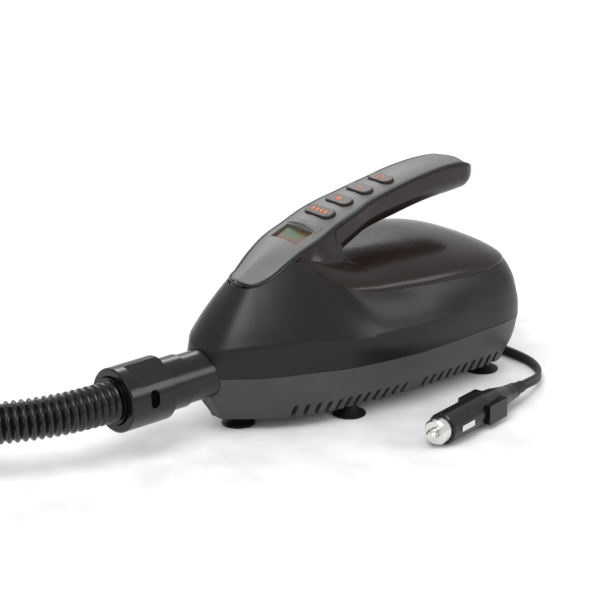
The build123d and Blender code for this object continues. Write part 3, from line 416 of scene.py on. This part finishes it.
def drum_cutter(name, radius, x0, x1, z):
    """A round cutter along X."""
    bm = bmesh.new()
    place = Matrix.Translation(mm((x0 + x1) / 2, 0, z)) @ Matrix.Rotation(math.pi / 2, 4, "Y")
    bmesh.ops.create_cone(bm, cap_ends=True, segments=64, radius1=radius * MM, radius2=radius * MM,
                          depth=(x1 - x0) * MM, matrix=place)
    return cutter(name, bm)


def cutter(name, bm):
    """A plain object that only serves to cut."""
    mesh = bpy.data.meshes.new(name)
    bmesh.ops.recalc_face_normals(bm, faces=bm.faces[:])
    bm.to_mesh(mesh)
    bm.free()
    obj = bpy.data.objects.new(name, mesh)
    bpy.context.scene.collection.objects.link(obj)
    return obj


def cut(obj, tools):
    """Cut tools out of an object and delete them."""
    for tool in tools:
        modifier = obj.modifiers.new(tool.name, "BOOLEAN")
        modifier.operation = "DIFFERENCE"
        modifier.solver = "EXACT"
        modifier.object = tool
    apply_modifiers(obj)
    for tool in tools:
        bpy.data.objects.remove(tool)
    obj.data.shade_smooth()
    obj.data.set_sharp_from_angle(angle=math.radians(SHARP_ANGLE))


VENT_PITCH = 7.4
VENTS = [-62.0 + VENT_PITCH * i for i in range(12)] + [37.0 + VENT_PITCH * i for i in range(10)]
VENT_HALF, VENT_LOW, VENT_TOP = 1.5, 6.0, 18.5
VENT_INNER, VENT_OUTER = 4.2, 14
SEAM = 0.25


def vent_cutter():
    """Upright slots with round tops through the tray's lower edge, on both sides."""
    bm = bmesh.new()
    half, top = VENT_HALF, VENT_TOP
    outline = [(-half, VENT_LOW)]
    for i in range(9):
        turn = math.pi - math.pi * i / 8
        outline.append((half * math.cos(turn), top - half + half * math.sin(turn)))
    outline.append((half, VENT_LOW))
    for x in VENTS:
        y = lerp_table([(p[0], p[1]) for p in FLOOR_LINE[1:-1]], x)
        for side in (-1, 1):
            ends = []
            for depth in (y - VENT_INNER, y + VENT_OUTER):
                ends.append([bm.verts.new(mm(x + px, side * depth, pz)) for px, pz in outline])
            bm.faces.new(ends[0])
            bm.faces.new(ends[1][::-1])
            for k in range(len(outline)):
                bm.faces.new((ends[0][k - 1], ends[0][k], ends[1][k], ends[1][k - 1]))
    return cutter("vents", bm)


def tray():
    """The grey tray with its slots."""
    low = [(x, y, FLOOR_Z) for x, y in FLOOR_LINE]
    high = [(x, y, PART_Z - SEAM) for x, y in PARTING_LINE]
    edge = [(x, y, z + 1.2) for x, y, z in pushed(low, high, 0.02, 6)]
    rows = dense_rows([loop_of(r) for r in (edge, pushed(low, high, 0.5, 2.0), high)])
    bm = bmesh.new()
    rows.insert(0, spline(loop_of(low), ALONG_PARTS, closed=True))
    made = grid(bm, rows, True)
    bm.faces.new(made[0])
    obj = mesh_object("tray", bm, tray_plastic())
    thicken(obj, WALL * MM)
    cut(obj, [vent_cutter(), nose_cutter(), gland_cutter()])
    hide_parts("base_shell")


GLAND_HOLE_R, GLAND_HOLE_X, GLAND_Y, GLAND_Z = 4.7, (115, 145), 18, 24


def gland_cutter():
    """The hole in the back wall for the lead's strain relief."""
    tool = drum_cutter("gland_hole", GLAND_HOLE_R, *GLAND_HOLE_X, GLAND_Z)
    tool.data.transform(Matrix.Translation(mm(0, GLAND_Y, 0)))
    return tool


def nose_cutter():
    """The hole in the nose for the nozzle."""
    return drum_cutter("nose_hole", NOZZLE_HOLE_R, *NOZZLE_HOLE_X, PART_Z)


def hull():
    """The dark main shell: one band from the parting plane to the waist, one above it."""
    bottom = [(x, y, PART_Z + SEAM) for x, y in PARTING_LINE]
    lower = dense_rows([loop_of(r) for r in (bottom, pushed(bottom, WAIST_LINE, 0.5, 0.8), WAIST_LINE)])
    between = [pushed(WAIST_LINE, TOP_LINE, share, 1.6) for share in (0.35, 0.7)]
    upper = dense_rows([loop_of(r) for r in (WAIST_LINE, *between, TOP_LINE)])
    bm = bmesh.new()
    grid(bm, lower[:-1] + upper, True)
    obj = mesh_object("main_hull", bm, shell_plastic(), smooth_angle=28)
    thicken(obj, WALL * MM)
    cut(obj, [nose_cutter()])
    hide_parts("main_shell")


def panel_edge(x):
    """Half the control panel's width at x, and the height of its edge."""
    return smooth_table(PANEL_HALF, x), smooth_table(CREST, x) - smooth_table(PANEL_DROP, x)


STRIP_WIDTH = 2.6
TAIL_START = 100


def frame_half(x):
    """Half the handle's width at x, over the strip round the panel."""
    if x < TAIL_START:
        return smooth_table(PANEL_HALF, x) + STRIP_WIDTH
    return lerp_table(HANDLE_TAIL, x)


def stations(low, high, count):
    """Evenly spaced values from low to high, with both ends."""
    return [low + (high - low) * i / (count - 1) for i in range(count)]


DECK_START = -46
DECK_GAP, SKIRT_IN, SKIRT_DEEP = 0.35, 0.3, 3.0
DECK_STEPS = 22
ROOT_HOLLOW = 2.6


def deck_half(x):
    """Half a section of the deck: a skirt behind the shell's rim, then the surface up to the middle."""
    border = TOP_LINE[5:]
    y_edge = smooth_table([(p[0], p[1]) for p in border], x) - DECK_GAP
    z_edge = smooth_table([(p[0], p[2]) for p in border], x)
    steps = DECK_STEPS
    points = [(x, y_edge - SKIRT_IN, z_edge - SKIRT_DEEP)]
    if x < DOME_START:
        y_top, z_top = panel_edge(x)
        y_top, z_top = y_top + 2.5, z_top - 2.6
        y_edge = max(y_edge, y_top + 0.4)
        share = (x - DECK_START) / (DOME_START - DECK_START)
        share = share * share * (3 - 2 * share)
        for i in range(steps + 1):
            t = i / steps
            hollow = ROOT_HOLLOW * math.sin(math.pi * t)
            straight = (y_edge + (y_top - y_edge) * t - hollow, z_edge + (z_top - z_edge) * t)
            bent = dome_then_wall(t, y_edge, z_edge, y_top, z_top)
            points.append((x, *(a + (b - a) * share for a, b in zip(straight, bent))))
    else:
        z_top = smooth_table(DOME_TOP, x)
        for i in range(steps + 1):
            t = math.pi / 2 * i / steps
            y = y_edge * math.cos(t) ** DOME_FULLNESS
            points.append((x, y, z_edge + (z_top - z_edge) * math.sin(t)))
    return points


DOME_START = -4.0
DOME_FULLNESS = 0.9
WALL_START, WALL_TURN = 0.6, 0.72
LID_DROP = 9.0


def dome_then_wall(t, y_edge, z_edge, y_top, z_top):
    """Half a section at the handle's root: it follows the dome, then rises to the handle."""
    turn = WALL_TURN * math.pi / 2 * min(t / WALL_START, 1)
    y = y_edge * math.cos(turn) ** DOME_FULLNESS
    z = z_edge + (DOME_TOP[0][1] - z_edge) * math.sin(turn)
    rise = max(0.0, (t - WALL_START) / (1 - WALL_START))
    return y + (y_top - y) * rise ** 0.6, z + (z_top - z) * rise ** 1.3


def deck():
    """The brown deck: the dome, and the flanks of the handle's root that rise in front of it."""
    bm = bmesh.new()
    xs = stations(DECK_START, -9, 20) + stations(-3, 121, 50) + [122.5, 123.8, 124.8, 125.4]
    rows = []
    for x in xs:
        half = deck_half(x)
        near = [mm(px, -y, z) for px, y, z in half]
        far = [mm(px, y, z) for px, y, z in half[:-1][::-1]]
        if x < DOME_START:
            top = half[-1][1]
            near[-1] = mm(x, 0, half[-1][2] - LID_DROP)
            near[-2] = mm(x, -top, half[-1][2])
            far[0] = mm(x, top, half[-1][2])
        rows.append(near + far)
    made = grid(bm, rows, False)
    bm.faces.new(made[-1])
    bm.faces.new(made[0][::-1])
    obj = mesh_object("deck", bm, deck_plastic(), smooth_angle=50)
    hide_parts("deck_cover")


def handle_rows(xs, section):
    """Full rows across the handle from a function that gives half a section at x."""
    rows = []
    for x in xs:
        half = section(x)
        rows.append([mm(x, -y, z) for y, z in half] + [mm(x, y, z) for y, z in half[::-1] if y > 1e-6])
    return rows


GRIP_ROUND_X, GRIP_ROUND_LONG = 112, 11.9


def grip():
    """The brown lower half of the handle, rounded below and closed at its tail."""
    def section(x):
        """Half a section: down the side from under the strip, and round to the middle below."""
        _, z = panel_edge(min(x, 118))
        side = frame_half(min(x, 118)) + 0.4
        low = smooth_table(UNDERSIDE, x)
        top = z - 2.2
        share = 1.0
        if x > GRIP_ROUND_X:
            share = math.sqrt(max(0.0, 1 - ((x - GRIP_ROUND_X) / GRIP_ROUND_LONG) ** 2))
            middle = (low + z) / 2 - (x - GRIP_ROUND_X) * 0.1
            top, low = middle + (z - 0.1 - middle) * (0.35 + 0.65 * share), middle - (middle - low) * share
        side *= max(share, 0.12)
        points = [(side, top)]
        for i in range(13):
            turn = math.pi / 2 * i / 12
            points.append((side * (math.cos(turn) ** 0.55 if i < 12 else 0.0) * 1.02,
                           low + (top - low) * 0.55 * (1 - math.sin(turn) ** 1.3)))
        return points

    bm = bmesh.new()
    xs = stations(-14, 112, 50) + [114, 116, 118, 120, 121.5, 122.8, 123.5]
    made = grid(bm, handle_rows(xs, section), False)
    for low, high in zip(made, made[1:]):
        bm.faces.new((low[-1], low[0], high[0], high[-1]))
    bm.faces.new(made[0])
    bm.faces.new(made[-1][::-1])
    obj = mesh_object("grip", bm, deck_plastic(), smooth_angle=40)
    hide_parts("handle_grip")


PANEL_FRONT, PANEL_BACK = -80, 113.5
PANEL_FINE = [PANEL_FRONT, -79.6, -79, -78, -77, -75.5, -73, -70]
PANEL_FINE += stations(-66, 100, 90) + [103, 106, 108.5, 111, 112.5, PANEL_BACK]
STRIP_ROUND_X, STRIP_ROUND_LONG = 110, 8.2
BED_DEPTH = 1.0


def strip():
    """The dark strip round the grey panel, with the bed that the panel lies in."""
    bm = bmesh.new()
    rows = []
    for x in [-82.6, -81.8] + PANEL_FINE + [114.5, 116, 117.6]:
        w, z = panel_edge(x)
        crown, lip = smooth_table(PANEL_DROP, x), frame_half(x)
        if x < PANEL_FRONT:
            lip *= 0.8 if x > -82 else 0.45
        if x > STRIP_ROUND_X:
            lip *= math.sqrt(1 - ((x - STRIP_ROUND_X) / STRIP_ROUND_LONG) ** 2)
        bed = BED_DEPTH if PANEL_FRONT <= x <= PANEL_BACK else 0.05
        half = [(lip, z - 3.0), (lip, z - 0.9), (lip - 0.6, z - 0.25)]
        half += [(w + 0.35, z - 0.05), (w + 0.34, z - bed)]
        half += [(w * 0.5, z - bed + crown * 0.7), (0.0, z - bed + crown)]
        rows.append([mm(x, -y, h) for y, h in half] + [mm(x, y, h) for y, h in half[:-1][::-1]])
    made = grid(bm, rows, False)
    for low, high in zip(made, made[1:]):
        bm.faces.new((low[-1], low[0], high[0], high[-1]))
    bm.faces.new(made[0])
    bm.faces.new(made[-1][::-1])
    obj = mesh_object("panel_strip", bm, shell_plastic())
    cut(obj, button_cutters(BUTTON_GAP + 1.0) + [display_cutter(WINDOW_LONG + 2.0, WINDOW_WIDE + 2.2)])
    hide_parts("handle_frame")


BUTTONS = {"mode": (-9.0, 25.0), "plus": (8.0, 22.0), "minus": (26.0, 21.0), "power": (45.0, 20.0)}
BUTTON_WIDTH = 10.0
DISPLAY_X = -34.0
WINDOW_LONG, WINDOW_WIDE = 15.4, 25.4
BUTTON_GAP = 0.4


def crest_place(x, lift=0.0):
    """A matrix at the crest: X back along the handle, Y across it, Z along the normal."""
    rise = lerp_table(CREST, x + 4) - lerp_table(CREST, x - 4)
    tilt = math.atan2(rise, 8.0)
    turn = Matrix.Rotation(-tilt, 4, "Y")
    return Matrix.Translation(mm(x, 0, lerp_table(CREST, x))) @ turn @ Matrix.Translation(mm(0, 0, lift))


def oval_points(length, width, segments=16):
    """An upright oval's outline with round ends, long across the handle."""
    r, reach = width / 2, (length - width) / 2
    points = []
    for side in (1, -1):
        for i in range(segments + 1):
            turn = math.pi * i / segments + (0 if side > 0 else math.pi)
            points.append((r * math.cos(turn), side * reach + r * math.sin(turn)))
    return points


def prism(bm, outline, low, high, place):
    """A straight-sided solid from a flat outline, between two heights."""
    rings = [[bm.verts.new(place @ mm(x, y, z)) for x, y in outline] for z in (low, high)]
    bm.faces.new(rings[0][::-1])
    bm.faces.new(rings[1])
    for k in range(len(outline)):
        bm.faces.new((rings[0][k - 1], rings[0][k], rings[1][k], rings[1][k - 1]))


def button_cutters(extra):
    """Cutters for the buttons' holes, wider than the buttons by `extra` all round."""
    made = []
    for name, (x, length) in BUTTONS.items():
        bm = bmesh.new()
        prism(bm, oval_points(length + 2 * extra, BUTTON_WIDTH + 2 * extra), -12, 6, crest_place(x))
        made.append(cutter("hole_" + name, bm))
    return made


def display_cutter(along, across):
    """A cutter for the display's window."""
    bm = bmesh.new()
    prism(bm, bar(0, 0, along, across), -14, 8, crest_place(DISPLAY_X))
    return cutter("window", bm)


def panel():
    """The grey trim panel: crowned, with rounded edges, button holes and a display window."""
    bm = bmesh.new()
    rows = []
    for x in PANEL_FINE:
        w, z = panel_edge(x)
        crown = smooth_table(PANEL_DROP, x)
        half = [(w, z - 1.6), (w, z - 0.35), (w - 0.35, z + 0.1)]
        for i in range(1, 9):
            share = i / 8
            half.append(((w - 0.35) * (1 - share), z + 0.1 + (crown - 0.1) * (1 - (1 - share) ** 2)))
        rows.append([mm(x, -y, h) for y, h in half] + [mm(x, y, h) for y, h in half[:-1][::-1]])
    made = grid(bm, rows, False)
    for low, high in zip(made, made[1:]):
        bm.faces.new((low[-1], low[0], high[0], high[-1]))
    bm.faces.new(made[0])
    bm.faces.new(made[-1][::-1])
    obj = mesh_object("panel", bm, panel_plastic())
    cut(obj, button_cutters(BUTTON_GAP) + [display_cutter(WINDOW_LONG, WINDOW_WIDE)])
    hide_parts("handle_panel")
    hood()


HOOD_HALF, HOOD_RISE, HOOD_STEPS = 14.5, 2.6, 24


def hood():
    """The arched lip over the display's upper edge."""
    bm = bmesh.new()
    rows = []
    place = crest_place(DISPLAY_X + 11)
    for i in range(HOOD_STEPS + 1):
        share = -1 + 2 * i / HOOD_STEPS
        y, lift = share * HOOD_HALF, HOOD_RISE * (1 - share ** 2)
        drop = -1.4 * share ** 2
        section = ((-3.2, -1), (-2.6, lift * 0.9), (-1.2, lift), (3.5, 0.1), (3.5, -1))
        rows.append([place @ mm(x, y, z + drop) for x, z in section])
    made = grid(bm, rows, False)
    for low, high in zip(made, made[1:]):
        bm.faces.new((low[-1], low[0], high[0], high[-1]))
    bm.faces.new(made[0])
    bm.faces.new(made[-1][::-1])
    obj = mesh_object("display_hood", bm, panel_plastic())


CAP_TOP, ICON_THICK = 1.32, 0.12


def icon(name, shapes):
    """A thin orange sign on a button's cap."""
    bm = bmesh.new()
    place = crest_place(BUTTONS[name][0], CAP_TOP)
    for outline in shapes:
        prism(bm, outline, 0.0, ICON_THICK, place)
    orange = plastic("icon_orange", (0.75, 0.16, 0.02), 0.5, grain=0.05)
    obj = mesh_object("icon_" + name, bm, orange, name + "_button")


def bar(cx, cy, sx, sy):
    """A rectangle's outline round a centre."""
    x, y = sx / 2, sy / 2
    return [(cx - x, cy - y), (cx + x, cy - y), (cx + x, cy + y), (cx - x, cy + y)]


def arc_band(radius, width, start, end, steps=20):
    """Quads along an arc, angles in degrees from the handle's front."""
    shapes = []
    for i in range(steps):
        a, b = (math.radians(start + (end - start) * k / steps) for k in (i, i + 1))
        inner, outer = radius - width / 2, radius + width / 2
        corners = ((inner, a), (outer, a), (outer, b), (inner, b))
        shapes.append([(r * math.cos(turn), r * math.sin(turn)) for r, turn in corners])
    return shapes


def icons():
    """Four bars for the mode, a plus, a minus and the power sign."""
    icon("mode", [bar(0, y, 3.2, 1.6) for y in (-6, -2, 2, 6)])
    icon("plus", [bar(0, 0, 1.0, 4.4), bar(1.35, 0, 1.7, 1.0), bar(-1.35, 0, 1.7, 1.0)])
    icon("minus", [bar(0, 0, 1.0, 4.4)])
    icon("power", arc_band(2.1, 0.6, -140, 140) + [bar(-1.9, 0, 2.2, 0.6)])


# ---------------------------------------------------------------- cords
HOSE_ROUTE = [
    (-185, 0, 42.5), (-205, 1.4, 42.2), (-226, 7.3, 41.4), (-245.8, 17.3, 40.2), (-264.5, 32.2, 38.5),
    (-292, 56, 35), (-324, 79.5, 29.5), (-352, 96, 25),
]
HOSE_R = 13.5
HOSE_COIL_CENTRE = (-414.0, 14.0)
HOSE_COIL_R, HOSE_COIL_PITCH, HOSE_COIL_IN_R = 103.0, 28.0, 38.0
HOSE_COIL_START, HOSE_COIL_TURNS = 53.0, 1.85
HOSE_CURL_TURNS = 0.16
HOSE_DROP, HOSE_DROP_TURNS = 11, 0.15
LEAD_OUT = [
    (154, 18, 23.6), (169, 19.5, 19), (183, 26, 11.5), (196, 38, 6), (206, 54, 3.8), (213.5, 73, 3.6),
]
LEAD_BACK = [
    (131, 68, 3.6), (139, 52, 3.6), (140.5, 30, 3.6), (139.5, 6, 3.6), (137.5, -18, 3.6), (137.5, -40, 3.6),
    (134.6, -57.5, 3.6), (125.5, -73, 4.2), (111.5, -84.7, 6.2), (96, -91.8, 9.2), (84.6, -95.6, 10.5),
]
LEAD_COIL_CENTRE = (168.0, 102.0)
LEAD_R, CORE_R = 3.5, 1.75
LEAD_COIL_RINGS = (54.0, 49.0, 44.0, 39.0, 34.0)
LEAD_COIL_START, LEAD_COIL_END = -18, 228
LEAD_LAYER = 7.1
LEAD_FALL, LEAD_FALL_OUT = 0.45, 3.0
GROUND_GAP = 0.1
TURN_POINTS = 16


def hose_points():
    """The whole hose: the route, then an inward spiral on the ground that curls in at its end."""
    points = HOSE_ROUTE[:-1]
    cx, cy = HOSE_COIL_CENTRE
    count = int(HOSE_COIL_TURNS * TURN_POINTS)
    for i in range(count + 1):
        turns = HOSE_COIL_TURNS * i / count
        radius = HOSE_COIL_R - HOSE_COIL_PITCH * turns
        left = (HOSE_COIL_TURNS - turns) / HOSE_CURL_TURNS
        if left < 1:
            radius += (HOSE_COIL_IN_R - radius) * (1 - left)
        turn = math.radians(HOSE_COIL_START) + 2 * math.pi * turns
        height = HOSE_R + GROUND_GAP + HOSE_DROP * max(0.0, 1 - turns / HOSE_DROP_TURNS)
        points.append((cx + radius * math.cos(turn), cy + radius * math.sin(turn), height))
    return points


def lead_points():
    """The whole lead: out of the gland, inwards on a coil's lower layer, outwards on its upper one,
    down at the outside and on to the plug."""
    cx, cy = LEAD_COIL_CENTRE
    points = list(LEAD_OUT)
    start, end = math.radians(LEAD_COIL_START), math.radians(LEAD_COIL_END)
    rings, low = LEAD_COIL_RINGS, LEAD_R + GROUND_GAP
    radii = list(rings) + list(rings[::-1])
    turns = len(radii) + (end - start) / (2 * math.pi) - 1
    count = int(turns * TURN_POINTS)
    for i in range(count + 1):
        along = turns * i / count
        k = min(int(along), len(radii) - 1)
        share = min(1.0, along - k)
        following = radii[min(k + 1, len(radii) - 1)]
        radius = radii[k] + (following - radii[k]) * share
        climbed = min(1, max(0, (along - len(rings) + 0.5) * 2))
        level = low + LEAD_LAYER * climbed
        last = turns - along
        if last < LEAD_FALL:
            level = low + (level - low) * last / LEAD_FALL
            radius = rings[0] + LEAD_FALL_OUT * (1 - last / LEAD_FALL)
        turn = start + 2 * math.pi * along
        points.append((cx + radius * math.cos(turn), cy + radius * math.sin(turn), level))
    return points + LEAD_BACK[1:]


def nurbs_line(name, points, detail):
    """Points read from a NURBS spline through a route's control points."""
    data = bpy.data.curves.new(name, "CURVE")
    data.dimensions = "3D"
    line = data.splines.new("NURBS")
    line.points.add(len(points) - 1)
    for point, place in zip(line.points, points):
        point.co = (*mm(*place), 1)
    line.order_u = 3
    line.use_endpoint_u = True
    line.resolution_u = detail
    obj = bpy.data.objects.new(name, data)
    bpy.context.scene.collection.objects.link(obj)
    bpy.context.view_layer.update()
    mesh = bpy.data.meshes.new_from_object(obj.evaluated_get(bpy.context.evaluated_depsgraph_get()))
    found = [v.co.copy() for v in mesh.vertices]
    bpy.data.meshes.remove(mesh)
    bpy.data.objects.remove(obj)
    return found


def spaced(line, step):
    """Points every `step` along a line, with both its ends."""
    lengths = [0.0]
    for a, b in zip(line, line[1:]):
        lengths.append(lengths[-1] + (b - a).length)
    count = max(2, round(lengths[-1] / step))
    made, k = [], 0
    for i in range(count + 1):
        at = lengths[-1] * i / count
        while k < len(line) - 2 and lengths[k + 1] < at:
            k += 1
        gap = lengths[k + 1] - lengths[k]
        made.append(line[k].lerp(line[k + 1], (at - lengths[k]) / gap if gap else 0))
    return made


def tube(name, line, outline_at, material):
    """A tube of changing outline along a line, its upright side kept up."""
    bm = bmesh.new()
    rows = []
    for i, place in enumerate(line):
        way = (line[min(i + 1, len(line) - 1)] - line[max(i - 1, 0)]).normalized()
        across = way.cross(Vector((0, 0, 1))).normalized()
        up = across.cross(way)
        rows.append([place + across * u + up * v for u, v in outline_at(i)])
    made = grid(bm, rows, True)
    bm.faces.new(made[0])
    bm.faces.new(made[-1][::-1])
    return mesh_object(name, bm, material, smooth_angle=60)


RIB_PITCH = 4.9
RIB_STEPS = 8
RIB_DEPTH, RIB_FULLNESS = 2.1, 0.6
HOSE_SIDES, CORE_SIDES = 28, 8
LEAD_STEP = 1.6


def hose():
    """The corrugated hose, from its cuff to its stepped end."""
    line = spaced(nurbs_line("hose_line", hose_points(), 12), RIB_PITCH * MM / RIB_STEPS)
    turns = [2 * math.pi * k / HOSE_SIDES for k in range(HOSE_SIDES)]

    def outline(i):
        wave = 0.5 + 0.5 * math.cos(2 * math.pi * i / RIB_STEPS)
        radius = (HOSE_R - RIB_DEPTH * (1 - wave ** RIB_FULLNESS)) * MM
        return [(radius * math.cos(turn), radius * math.sin(turn)) for turn in turns]

    black = plastic("hose_plastic", (0.004, 0.004, 0.0042), 0.22, grain=0.08, coat=0.2)
    obj = tube("hose", line, outline, black)
    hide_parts("hose_run", "hose_coil")
    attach(obj, "housing")


def lead():
    """The flat twin lead: two round cores side by side, standing on edge."""
    line = spaced(nurbs_line("lead_line", lead_points(), 8), LEAD_STEP * MM)

    def outline(i):
        points = []
        for start, middle in ((-60, CORE_R), (120, -CORE_R)):
            for k in range(CORE_SIDES + 1):
                turn = math.radians(start + 300 * k / CORE_SIDES)
                points.append((CORE_R * math.cos(turn) * MM, (middle + CORE_R * math.sin(turn)) * MM))
        return points

    obj = tube("lead", line, outline, rubber_black())
    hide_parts("lead_out", "lead_coil", "lead_back")


# ---------------------------------------------------------------- CAD pieces' materials
def dress():
    """A procedural material on every CAD node that shows or sits inside."""
    looks = {
        "black_rubber": rubber_black, "hose_plastic": gloss_black, "lead_rubber": rubber_black,
        "plug_plastic": gloss_black, "plug_metal": nickel, "tray_plastic": tray_plastic,
        "shell_plastic": shell_plastic, "deck_plastic": deck_plastic, "panel_plastic": panel_plastic,
        "display_glass": display_picture,
    }
    more = {
        "button_plastic": ((0.028, 0.018, 0.015), 0.34, 0.0),
        "board": ((0.01, 0.09, 0.03), 0.4, 0.0),
        "switch_plastic": ((0.01, 0.01, 0.01), 0.5, 0.0),
        "steel": ((0.5, 0.5, 0.5), 0.35, 1.0),
        "bearing_metal": ((0.45, 0.3, 0.14), 0.4, 1.0),
        "aluminium_parts": ((0.6, 0.6, 0.62), 0.4, 1.0),
        "inner_plastic": ((0.2, 0.2, 0.21), 0.5, 0.0),
        "brass_parts": ((0.6, 0.42, 0.16), 0.3, 1.0),
    }
    made = {}
    for part in frame["record"]["subparts"]:
        slot = part["material_slot"]
        if slot not in made:
            if slot in looks:
                made[slot] = looks[slot]()
            else:
                colour, rough, metal = more[slot]
                made[slot] = plastic(slot, colour, rough, metal=metal)
        obj = bpy.data.objects.get(part["node"])
        if obj and obj.data.materials:
            for i in range(len(obj.data.materials)):
                obj.data.materials[i] = made[slot]
        elif obj:
            obj.data.materials.append(made[slot])


# ---------------------------------------------------------------- the model
make_camera()
make_stage()
dress()
hose()
lead()
tray()
hull()
deck()
strip()
panel()
grip()
icons()
